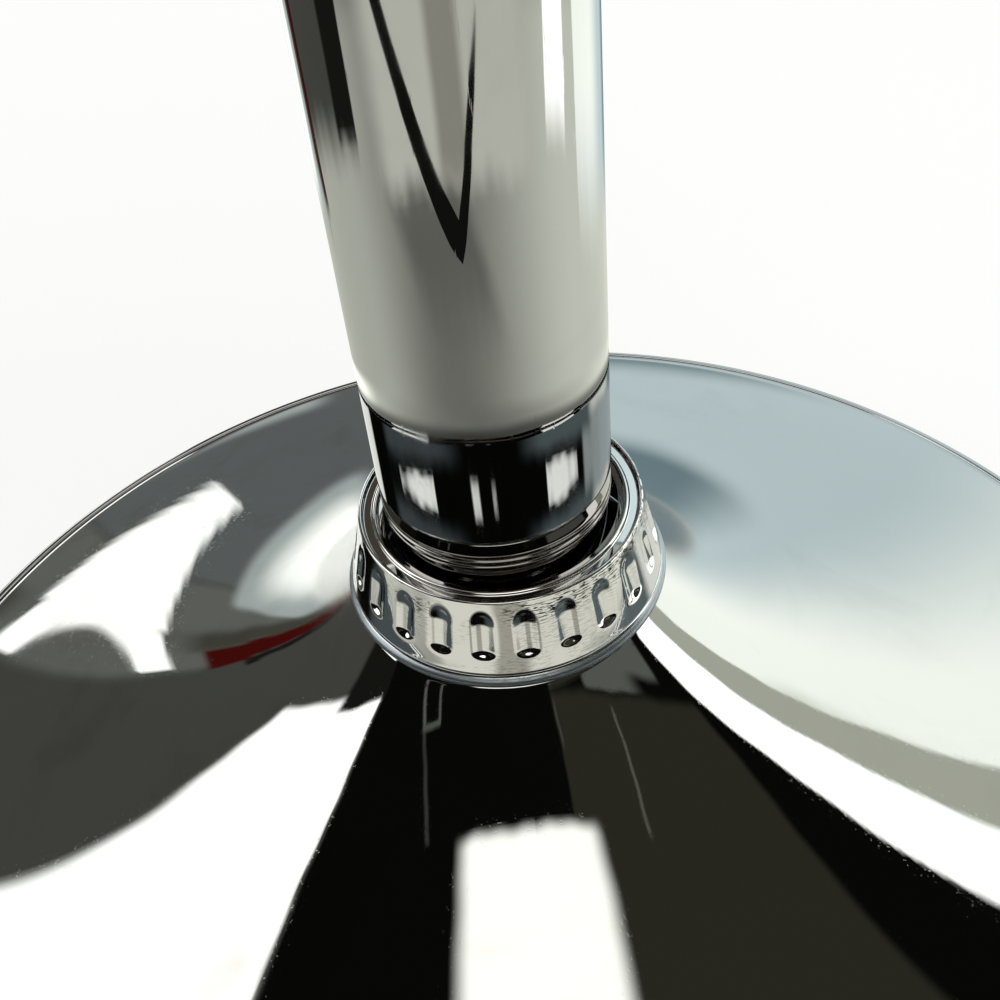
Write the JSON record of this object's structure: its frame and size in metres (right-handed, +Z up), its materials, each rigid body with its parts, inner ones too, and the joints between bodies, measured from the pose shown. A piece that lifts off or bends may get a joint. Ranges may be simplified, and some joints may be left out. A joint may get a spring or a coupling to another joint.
{
  "type": "gas-lift bar stool",
  "caption": "Gas-lift bar stool: spun chrome dish base with a fluted trim collar, chrome column, loop footrest and padded round swivel seat.",
  "frame": {"origin": "on the column's axis, at the floor", "axes": "+Z up the column; +X towards the release lever; +Y towards the footrest"},
  "size_m": [0.385, 0.385, 0.6],
  "materials": {
    "chrome": "bright mirror chrome plate on steel",
    "chrome_plastic": "bright chrome plate on moulded plastic",
    "steel": "zinc-plated steel",
    "rod_steel": "ground and hard-chromed rod",
    "black_steel": "black powder coat",
    "ballast": "black painted steel plate",
    "rubber": "matt black rubber",
    "black_plastic": "fine-grained black plastic",
    "nylon": "natural nylon",
    "plywood": "unfinished plywood",
    "upholstery": "dark red leatherette, fine grain"
  },
  "bodies": {
    "base": {"base_dish": "chrome", "base_socket": "chrome", "socket_gussets": "steel", "ballast_plate": "ballast", "ballast_screws": "steel", "floor_ring": "rubber", "column_tube": "chrome", "column_cap": "black_plastic", "guide_bush": "nylon", "footrest_clamp": "chrome", "footrest_loop": "chrome", "footrest_screws": "steel", "thrust_washer_lower": "steel"},
    "collar": {"trim_collar": "chrome_plastic"},
    "cage": {"ball_cage": "nylon", "thrust_balls": "steel"},
    "rod": {"thrust_washer_upper": "steel", "rod_bumper": "rubber", "piston_rod": "rod_steel", "rod_clip": "steel", "piston": "steel", "piston_seal": "rubber"},
    "seat": {"gas_cylinder": "black_steel", "rod_gland": "nylon", "valve_body": "steel", "taper_hub": "black_steel", "seat_plate": "black_steel", "seat_bolts": "steel", "t_nuts": "steel", "seat_board": "plywood", "seat_pan": "black_plastic", "pan_screws": "steel", "seat_cushion": "upholstery", "seat_welt": "upholstery", "lever_pivot_pin": "steel"},
    "pin": {"release_pin": "steel"},
    "lever": {"lever_rod": "chrome", "lever_grip": "black_plastic"}
  },
  "joints": [
    {"name": "collar_slide", "type": "slide", "parent": "base", "child": "collar", "axis": [0, 0, 1], "range_m": [0, 0.165]},
    {"name": "cage_spin", "type": "hinge", "parent": "base", "child": "cage", "pos_m": [0, 0, 0.0346], "axis": [0, 0, 1], "continuous": true},
    {"name": "seat_swivel", "type": "hinge", "parent": "base", "child": "rod", "pos_m": [0, 0, 0.0382], "axis": [0, 0, 1], "continuous": true},
    {"name": "seat_lift", "type": "slide", "parent": "rod", "child": "seat", "axis": [0, 0, 1], "range_m": [0, 0.21]},
    {"name": "lever_pull", "type": "hinge", "parent": "seat", "child": "lever", "pos_m": [0.036, 0, 0.51227], "axis": [0, -1, 0], "range_deg": [0, 4.5], "stiffness_Nm_per_rad": 2},
    {"name": "pin_press", "type": "slide", "parent": "seat", "child": "pin", "axis": [0, 0, -1], "range_m": [0, 0.0031], "stiffness_N_per_m": 2000}
  ],
  "couplings": [
    {"joint": "cage_spin", "follows": "seat_swivel", "ratio": 0.5},
    {"joint": "pin_press", "follows": "lever_pull", "m_per_rad": 0.039}
  ]
}
